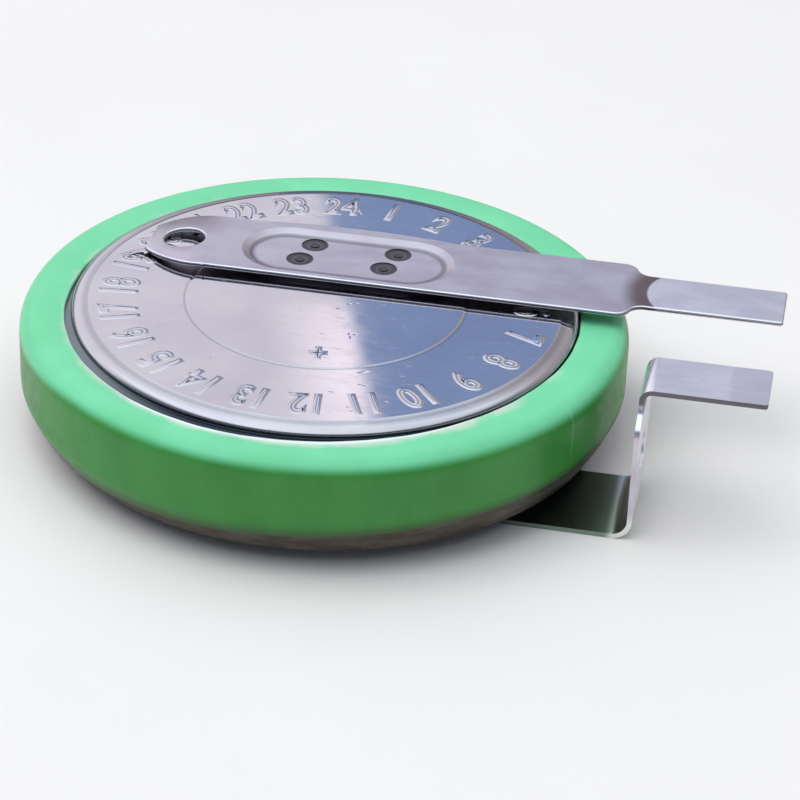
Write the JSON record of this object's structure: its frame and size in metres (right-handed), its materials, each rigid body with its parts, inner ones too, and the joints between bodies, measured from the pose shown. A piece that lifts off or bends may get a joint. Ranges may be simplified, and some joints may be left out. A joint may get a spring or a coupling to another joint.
{
  "type": "lithium coin cell",
  "caption": "Round lithium coin cell in a green film sleeve, with welded solder tabs whose flat leads leave on one side for soldering to a board.",
  "frame": {"origin": "on the cell's axis, in the plane of the negative face", "axes": "+Z along the cell's axis, out of the positive face; +X along the solder leads, away from the cell"},
  "size_m": [0.0308, 0.0248, 0.0063],
  "materials": {
    "can_steel": "satin stainless steel, fine scratches",
    "cap_steel": "satin stainless steel",
    "gasket_plastic": "dull polypropylene",
    "lithium_metal": "dull lithium metal",
    "separator_felt": "non-woven polypropylene felt",
    "pellet_black": "pressed manganese dioxide and graphite",
    "collector_steel": "plain stainless steel",
    "green_film": "shrunk green film, soft sheen",
    "tab_steel": "nickel-plated strip, tinned at the lead"
  },
  "bodies": {
    "root": {"positive_can": "can_steel", "negative_cap": "cap_steel", "sealing_gasket": "gasket_plastic", "lithium_anode": "lithium_metal", "separator": "separator_felt", "cathode_pellet": "pellet_black", "cathode_collector": "collector_steel", "insulating_sleeve": "green_film", "positive_tab": "tab_steel", "negative_tab": "tab_steel"}
  },
  "joints": []
}
